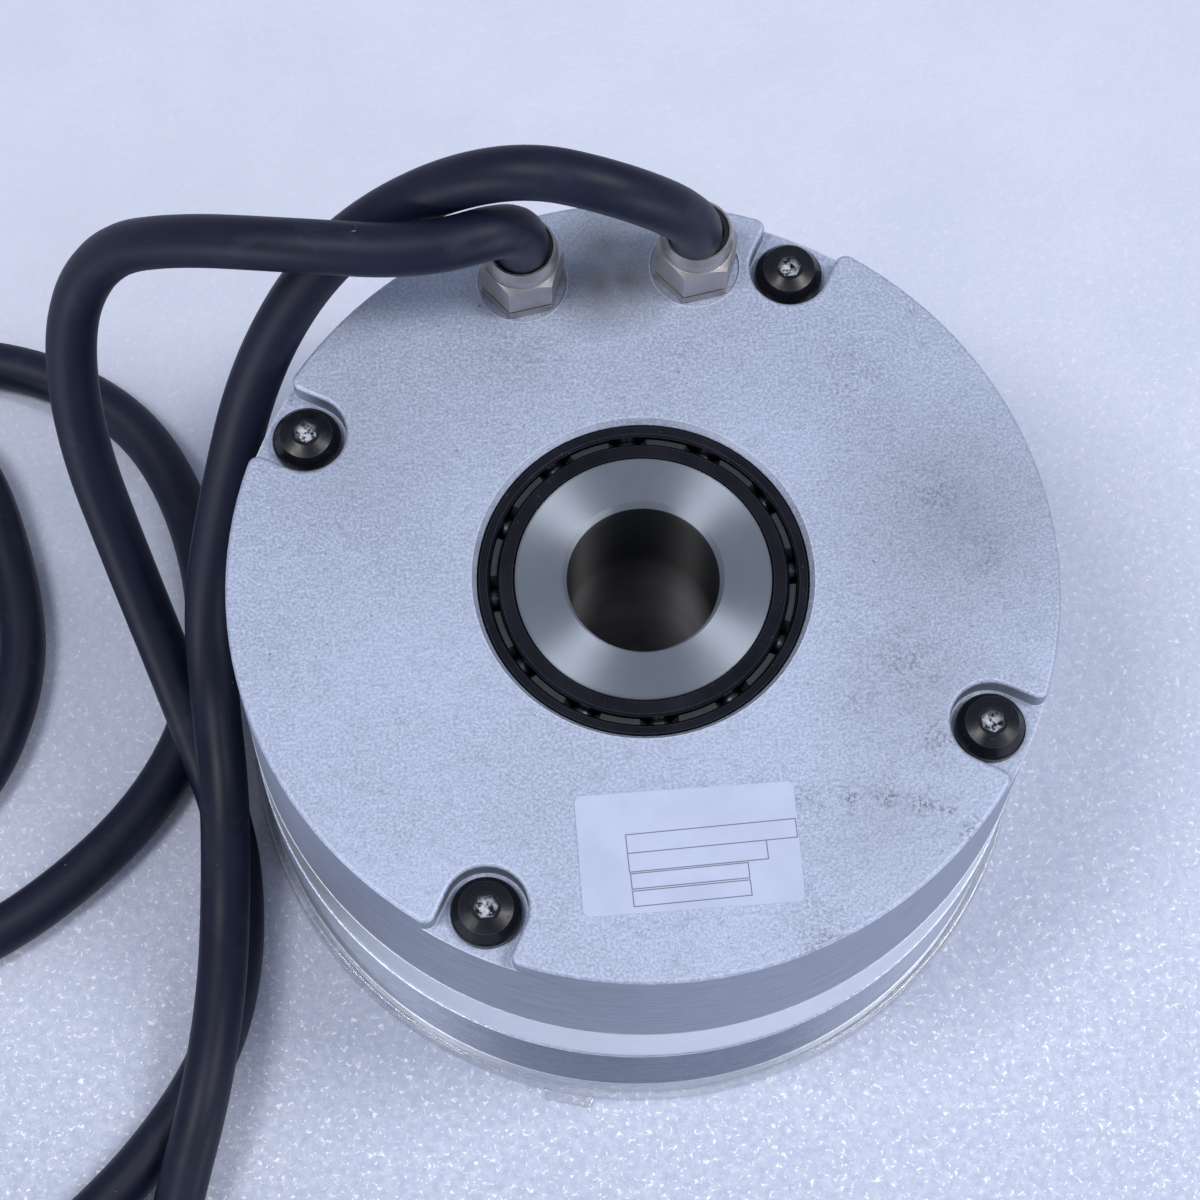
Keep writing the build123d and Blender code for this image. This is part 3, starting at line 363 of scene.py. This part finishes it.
def cast_aluminium(name, colour, stained_and_shaded=False):
    """Shot-blasted casting: fine grain, dark pits, painted highlights along its sharp edges, and skimmed
    walls with streaks, painted darker than the top as shade.
    """
    s = Shader(name, colour, metallic=0.45, roughness=0.5)
    grain = s.noise(2300, 3.0, 0.7)
    coarse = s.noise(620, 4.0, 0.65)
    cloud = s.noise(45, 3.0, 0.6)
    pits = s.ramp(s.noise(1100, 2.0, 0.5), 0.70, 0.76)
    base = s.mix(s.ramp(cloud, 0.35, 0.65), times(colour, 0.94), times(colour, 1.10))
    base = s.mix(s.ramp(grain, 0.42, 0.62, 0.0, 0.80), base, times(colour, 1.50))
    base = s.mix(s.ramp(coarse, 0.52, 0.70, 0.0, 0.30), base, times(colour, 0.66))
    base = s.mix(s.math("MULTIPLY", pits, 0.6), base, times(colour, 0.30))
    if stained_and_shaded:
        # Painted shade between the glands, under the encoder cord's arc, and broad darker patches to the
        # right and left.
        base = s.mix(spots(s, SHADES), base, (0.135, 0.145, 0.165))
        specks = s.ramp(s.noise(1500, 4.0, 0.75), 0.48, 0.58)
        groups = s.ramp(s.noise(330, 3.0, 0.6), 0.40, 0.55)
        marks = s.math("MULTIPLY", specks, groups)
        base = s.mix(s.math("MULTIPLY", marks, spots(s, STAINS)), base, times(colour, 0.26))
    # Side walls: streaks, painted darker than the top as shade; the normal's height picks wall or top.
    streak = s.noise(150, 4.0, 0.7, coords=s.stretched(1.0, 1.0, 9.0))
    shaded_wall = s.mix(s.ramp(streak, 0.3, 0.7), times(colour, 0.56), times(colour, 0.86))
    shaded_wall = s.mix(s.ramp(grain, 0.45, 0.65, 0.0, 0.40), shaded_wall, colour)
    normal = s.add("ShaderNodeNewGeometry").outputs["Normal"]
    up = s.add("ShaderNodeSeparateXYZ", {0: normal}).outputs["Z"]
    base = s.mix(s.ramp(up, 0.2, 0.6), shaded_wall, base)
    # Painted highlight: sharp edges coloured near white.
    base = s.mix(s.math("MULTIPLY", s.edges(0.45), 0.6), base, (0.85, 0.88, 0.95))
    s.colour(base)
    s.rough(s.ramp(grain, 0.3, 0.7, 0.40, 0.60))
    height = s.math("ADD", s.math("MULTIPLY", grain, 0.6), coarse)
    s.bump(height, 0.65, 0.13)
    return s


def front_casting(colour):
    """The casting with its lowest few millimetres turned bright, under the clear ring."""
    s = cast_aluminium("front_casting", colour)
    s.turned()
    foot = s.ramp(s.axes()[2], (FOOT_TOP + 0.3) * MM, FOOT_TOP * MM)
    cast = s.bsdf.inputs["Base Color"].links[0].from_socket
    s.colour(s.mix(foot, cast, (0.86, 0.89, 0.94)))
    s.set(s.bsdf, "Metallic", s.ramp(foot, 0.0, 1.0, 0.6, 1.0))
    s.rough(s.ramp(s.noise(700, 3.0), 0.3, 0.7, 0.36, 0.50))
    return s


def turned_aluminium(name, colour):
    """Machined band: fine turned lines round the axis."""
    s = Shader(name, colour, metallic=0.85, roughness=0.30)
    _, _, z = s.axes()
    rings = s.add("ShaderNodeCombineXYZ", {"X": s.radius(), "Y": z, "Z": 0.0}).outputs[0]
    fine = s.noise(9000, 2.0, 0.5, coords=rings)
    smear = s.noise(30, 2.0, 0.5)
    s.colour(s.mix(s.ramp(smear, 0.35, 0.65), times(colour, 0.94), colour))
    s.rough(s.ramp(fine, 0.3, 0.7, 0.26, 0.42))
    s.bump(fine, 0.10, 0.02)
    return s.material


def shaft_face():
    """Turned steel face and the bore, with painted shade near black at its mouth and painted light, paler,
    deep inside.
    """
    s = Shader("shaft_face", (0.28, 0.31, 0.36), metallic=0.76, roughness=0.48)
    s.turned()
    radius = s.radius()
    rings = s.add("ShaderNodeCombineXYZ", {"X": radius, "Y": 0.0, "Z": 0.0}).outputs[0]
    fine = s.noise(14000, 2.0, 0.6, coords=rings)
    patches = s.noise(60, 4.0, 0.7)
    turned = s.mix(s.ramp(patches, 0.3, 0.7), (0.255, 0.280, 0.330), (0.305, 0.335, 0.390))
    s.rough(s.ramp(fine, 0.3, 0.7, 0.45, 0.52))
    bore = s.ramp(radius, BORE_R * MM, (BORE_R + 0.08) * MM)
    # Painted shade at the bore's mouth, painted light deeper in.
    depth = s.ramp(s.axes()[2], BORE_DARK_FROM * MM, BORE_PALE_FROM * MM)
    painted_light_deep = s.math("MULTIPLY", depth, s.ramp(s.noise(120, 3.0), 0.3, 0.7, 0.7, 1.0))
    painted_bore_shade_and_light = s.mix(painted_light_deep, (0.004, 0.004, 0.008), (0.60, 0.58, 0.62))
    s.set(s.bsdf, "Metallic", s.ramp(bore, 0.0, 1.0, 0.06, 0.76))
    s.colour(s.mix(bore, painted_bore_shade_and_light, turned))
    s.bump(fine, 0.05, 0.01)
    return s.material


def dark_steel(name, colour, roughness):
    """Ground and oiled bearing steel, nearly black, with thin bright corners that are painted highlights.
    """
    s = Shader(name, colour, metallic=0.85, roughness=roughness)
    speck = s.ramp(s.noise(900, 2.0), 0.68, 0.75)
    smear = s.noise(140, 3.0, 0.6)
    base = s.mix(s.ramp(smear, 0.3, 0.7), times(colour, 0.8), times(colour, 1.25))
    base = s.mix(s.math("MULTIPLY", speck, 0.12), base, (0.5, 0.5, 0.55))
    # Painted highlight: thin bright lines along sharp corners.
    base = s.mix(s.math("MULTIPLY", s.edges(0.14), 0.35), base, (0.50, 0.51, 0.57))
    s.colour(base)
    s.rough(s.ramp(smear, 0.3, 0.7, roughness * 0.85, roughness * 1.2))
    return s.material


def black_oxide():
    """Black screws and washers, with sockets that tools have worn bright."""
    dark = (0.005, 0.005, 0.009)
    s = Shader("black_oxide", dark, metallic=0.0, roughness=0.26, Specular_IOR_Level=0.28)
    speck = s.ramp(s.noise(1400, 3.0, 0.6), 0.64, 0.74)
    base = s.mix(s.math("MULTIPLY", speck, 0.15), dark, (0.20, 0.20, 0.22))
    # Painted highlight: sharp edges coloured lighter grey.
    base = s.mix(s.math("MULTIPLY", s.edges(0.16), 0.30), base, (0.30, 0.31, 0.35))
    worn = 0.0
    for x, y in SCREW_PLACES:
        worn = s.math("MAXIMUM", s.near((x, y, SOCKET_Z), SOCKET_REACH), worn)
    worn = s.math("MULTIPLY", s.ramp(worn, 0.25, 0.40), s.ramp(s.noise(900, 3.0, 0.7), 0.42, 0.55))
    base = s.mix(worn, base, (0.60, 0.64, 0.72))
    s.colour(base)
    s.rough(s.ramp(s.noise(500), 0.3, 0.7, 0.22, 0.40))
    s.bump(s.noise(1800, 2.0), 0.15, 0.03)
    return s.material


def nickel():
    """Nickel-plated brass: warm grey, fine scratches, and corners painted brighter as highlights."""
    s = Shader("nickel", (0.42, 0.39, 0.40), metallic=0.85, roughness=0.36)
    scratch = s.noise(1600, 3.0, 0.6, coords=s.stretched(1.0, 1.0, 0.12))
    cloud = s.noise(160, 3.0, 0.6)
    base = s.mix(s.ramp(cloud, 0.3, 0.7), (0.32, 0.30, 0.305), (0.41, 0.385, 0.385))
    # Painted highlight: corners coloured brighter.
    base = s.mix(s.math("MULTIPLY", s.edges(0.22), 0.6), base, (0.70, 0.66, 0.65))
    s.colour(base)
    s.rough(s.ramp(scratch, 0.3, 0.7, 0.28, 0.46))
    s.bump(scratch, 0.12, 0.02)
    return s.material


def rubber(name, colour, roughness):
    """Even moulded rubber or polymer with a fine skin."""
    s = Shader(name, colour, metallic=0.0, roughness=roughness)
    s.rough(s.ramp(s.noise(700, 3.0), 0.3, 0.7, roughness * 0.85, roughness * 1.15))
    s.bump(s.noise(2200, 2.0), 0.12, 0.02)
    return s.material


def cord_sheath():
    """Black PVC sheath: soft sheen, faint powder marks and a few pale specks."""
    s = Shader("cord_sheath", (0.006, 0.009, 0.026), roughness=0.46, Specular_IOR_Level=0.26)
    cloud = s.noise(60, 4.0, 0.6)
    fine = s.noise(2600, 2.0, 0.5)
    speck = s.ramp(s.noise(700, 2.0, 0.5), 0.775, 0.80)
    powder = s.ramp(s.noise(110, 5.0, 0.75, distortion=0.5), 0.56, 0.72)
    base = s.mix(s.ramp(cloud, 0.3, 0.7), (0.003, 0.005, 0.017), (0.007, 0.010, 0.028))
    base = s.mix(s.math("MULTIPLY", powder, 0.05), base, (0.20, 0.22, 0.30))
    base = s.mix(s.math("MULTIPLY", speck, 0.5), base, (0.45, 0.47, 0.52))
    s.colour(base)
    s.rough(s.ramp(cloud, 0.3, 0.7, 0.42, 0.54))
    s.bump(s.math("ADD", s.math("MULTIPLY", fine, 0.25), s.noise(150, 2.0, 0.5)), 0.12, 0.10)
    return s.material


def clear_plastic():
    """Clear moulded ring: see-through face on, with greyer walls and rims that mirror the light."""
    s = Shader("clear_plastic", (0.80, 0.84, 0.92), roughness=0.08,
               Specular_IOR_Level=1.0, Coat_Weight=1.0)
    edge = s.edges(0.45)
    haze = s.ramp(s.noise(260, 4.0, 0.7), 0.4, 0.7, 0.05, 0.16)
    facing = s.add("ShaderNodeLayerWeight", {"Blend": 0.5}).outputs["Facing"]
    slant = s.ramp(facing, 0.50, 0.85, 0.0, 0.42)
    s.colour(s.mix(edge, (0.36, 0.39, 0.46), (1.0, 1.0, 1.0)))
    seen = s.math("ADD", s.math("ADD", haze, slant), s.math("MULTIPLY", edge, 0.80))
    s.set(s.bsdf, "Alpha", seen)
    s.set(s.bsdf, "Metallic", s.math("MULTIPLY", edge, 0.80))
    s.rough(s.ramp(edge, 0.0, 1.0, 0.08, 0.24))
    soft = s.add("ShaderNodeBevel", {"Radius": 1.0 * MM}, samples=8)
    s.bump(s.noise(90, 2.0), 0.12, 0.3, normal=soft.outputs[0])
    return s.material


def label_film():
    """Pale film, printed with empty ruled boxes only."""
    s = Shader("label_film", (0.47, 0.50, 0.68), roughness=0.42)
    cloud = s.noise(120, 3.0, 0.6)
    base = s.mix(s.ramp(cloud, 0.3, 0.7), (0.46, 0.50, 0.66), (0.52, 0.56, 0.73))
    x, y, _ = s.axes()
    ink = 0.0
    for box in LABEL_BOXES:
        ink = s.math("MAXIMUM", s.box_line(x, y, box), ink)
    s.colour(s.mix(s.math("MULTIPLY", ink, 0.75), base, (0.05, 0.05, 0.07)))
    s.bump(s.noise(900, 2.0), 0.06, 0.02)
    return s.material


def plain(name, colour, metallic, roughness, grain=800):
    """Simple worked finish for pieces inside the motor and the plugs."""
    s = Shader(name, colour, metallic=metallic, roughness=roughness)
    fine = s.noise(grain, 3.0, 0.6)
    s.colour(s.mix(s.ramp(fine, 0.35, 0.65), times(colour, 0.88), times(colour, 1.10)))
    s.rough(s.ramp(fine, 0.3, 0.7, roughness * 0.85, min(1.0, roughness * 1.15)))
    s.bump(fine, 0.15, 0.03)
    return s.material


def make_materials():
    """One material for each of the record's slots."""
    return {
        "cast_aluminium": cast_aluminium("cast_aluminium", CASTING, stained_and_shaded=True).material,
        "turned_aluminium": turned_aluminium("turned_aluminium", (0.84, 0.87, 0.92)),
        "bearing_steel": dark_steel("bearing_steel", (0.020, 0.020, 0.028), 0.26),
        # The balls are coloured near black: painted shade for the dark gap inside the bearing.
        "ball_steel": plain("ball_steel", (0.07, 0.07, 0.085), 1.0, 0.38),
        "shaft_steel": shaft_face(),
        "black_oxide": black_oxide(),
        "nickel": nickel(),
        "black_rubber": rubber("black_rubber", (0.010, 0.010, 0.012), 0.32),
        "cord_sheath": cord_sheath(),
        "cage_polymer": rubber("cage_polymer", (0.020, 0.020, 0.024), 0.40),
        "clear_plastic": clear_plastic(),
        "label_film": label_film(),
        "spring_steel": plain("spring_steel", (0.40, 0.41, 0.44), 1.0, 0.35),
        "plain_steel": plain("plain_steel", (0.42, 0.42, 0.44), 1.0, 0.35),
        "zinc_steel": plain("zinc_steel", (0.58, 0.59, 0.62), 1.0, 0.32),
        "lamination": plain("lamination", (0.16, 0.16, 0.18), 0.8, 0.45),
        "magnet": plain("magnet", (0.34, 0.34, 0.36), 0.9, 0.35),
        "copper": plain("copper", (0.50, 0.19, 0.07), 0.9, 0.35),
        "insulation": plain("insulation", (0.72, 0.70, 0.62), 0.0, 0.45),
        "circuit_board": plain("circuit_board", (0.02, 0.15, 0.06), 0.0, 0.35),
        "black_plastic": plain("black_plastic", (0.020, 0.020, 0.022), 0.0, 0.42),
        "white_plastic": plain("white_plastic", (0.74, 0.74, 0.70), 0.0, 0.45),
        "encoder_glass": plain("encoder_glass", (0.45, 0.52, 0.55), 0.2, 0.10),
        "contact_brass": plain("contact_brass", (0.62, 0.48, 0.24), 1.0, 0.30),
    }


def dress_nodes(materials):
    """Every CAD node that stays gets its slot's material."""
    slots = {part["node"]: part["material_slot"] for part in frame["record"]["subparts"]}
    nodes = frame["nodes"]
    for name, node in nodes.items():
        node.data.materials.clear()
        node.data.materials.append(materials[slots[name]])
    front = nodes["front_housing"].data.materials
    front.clear()
    front.append(front_casting(CASTING).material)


def make_cord(name, points, material):
    """Round cord on one smooth spline whose control points are the route's corners."""
    curve = bpy.data.curves.new(name, "CURVE")
    curve.dimensions = "3D"
    curve.bevel_depth = CORD_R * MM
    curve.bevel_resolution = 8
    curve.resolution_u = 10
    curve.use_fill_caps = True
    spline = curve.splines.new("NURBS")
    spline.points.add(len(points) - 1)
    for point, place in zip(spline.points, metres(points)):
        point.co = (*place, 1.0)
    spline.order_u = 3
    spline.use_endpoint_u = True
    curve.materials.append(material)
    piece = bpy.data.objects.new(name, curve)
    bpy.context.scene.collection.objects.link(piece)
    return piece


def make_cords(materials):
    """The two cords, each on one spline from its gland to its plug."""
    power = make_cord("power_cord_sheath", POWER_ROUTE, materials["cord_sheath"])
    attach(power, "housing")
    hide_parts("power_cord")
    encoder_route = ENCODER_ROUTE + coil_points() + TAIL_ROUTE
    encoder = make_cord("encoder_cord_sheath", encoder_route, materials["cord_sheath"])
    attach(encoder, "housing")
    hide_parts("encoder_cord_run", "encoder_cord_coil", "encoder_cord_tail")


def make_floor():
    """Plain pale foam sheet, whose painted glints, fine white flecks, fade toward the back."""
    mesh = bpy.data.meshes.new("floor")
    corners = [(x * FLOOR_HALF, y * FLOOR_HALF, 0) for x, y in ((-1, -1), (1, -1), (1, 1), (-1, 1))]
    mesh.from_pydata(corners, [], [(0, 1, 2, 3)])
    floor = bpy.data.objects.new("floor", mesh)
    bpy.context.scene.collection.objects.link(floor)
    s = Shader("floor_foam", (0.67, 0.69, 0.81), roughness=0.8, Specular_IOR_Level=0.08)
    sharp = s.ramp(s.axes()[1], FLOOR_SOFT_Y, FLOOR_SHARP_Y, 0.08, 1.0)
    # Painted glints: fine white flecks on the foam.
    painted_glint = s.ramp(s.noise(1100, 3.0, 0.7, distortion=0.5), 0.575, 0.66)
    fine = s.ramp(s.noise(600, 4.0, 0.8), 0.35, 0.60)
    soft = s.noise(40, 4.0, 0.6)
    base = s.mix(s.ramp(soft, 0.3, 0.7), (0.64, 0.67, 0.79), (0.69, 0.71, 0.83))
    base = s.mix(s.math("MULTIPLY", s.math("MULTIPLY", fine, 0.8), sharp), base, (0.47, 0.52, 0.68))
    s.colour(s.mix(s.math("MULTIPLY", painted_glint, sharp), base, (1.0, 1.0, 1.0)))
    s.bump(s.noise(500, 4.0, 0.7), 0.35, 0.5)
    mesh.materials.append(s.material)


def area_light(name, place, target_z, size, power):
    """A rectangular lamp aimed at a height on the motor's axis."""
    light = bpy.data.lights.new(name, "AREA")
    light.shape = "RECTANGLE"
    light.size, light.size_y = size
    light.energy = power
    light.color = LIGHT_TINT
    lamp = bpy.data.objects.new(name, light)
    lamp.location = place
    aim = Vector((0, 0, target_z)) - Vector(place)
    lamp.rotation_euler = aim.to_track_quat("-Z", "Y").to_euler()
    bpy.context.scene.collection.objects.link(lamp)


def make_light():
    """Even sky light and the lamps."""
    world = bpy.data.worlds.new("studio")
    world.use_nodes = True
    background = world.node_tree.nodes["Background"]
    background.inputs["Color"].default_value = (*SKY_COLOUR, 1.0)
    background.inputs["Strength"].default_value = SKY_STRENGTH
    bpy.context.scene.world = world
    for lamp in LIGHTS:
        area_light(*lamp)


def make_camera():
    """The photo's camera."""
    data = bpy.data.cameras.new("camera")
    data.lens = CAMERA_LENS
    data.sensor_width = CAMERA_SENSOR
    data.clip_start = 0.01
    data.dof.use_dof = False
    camera = bpy.data.objects.new("camera", data)
    right = Vector(CAMERA_RIGHT).normalized()
    up = Vector(CAMERA_UP).normalized()
    back = right.cross(up).normalized()
    turn = Matrix((right, up, back)).transposed().to_4x4()
    camera.matrix_world = Matrix.Translation(Vector(CAMERA_PLACE) * MM) @ turn
    bpy.context.scene.collection.objects.link(camera)
    bpy.context.scene.camera = camera


bpy.context.scene.view_settings.view_transform = "Standard"
materials = make_materials()
dress_nodes(materials)
make_cords(materials)
make_floor()
make_light()
make_camera()
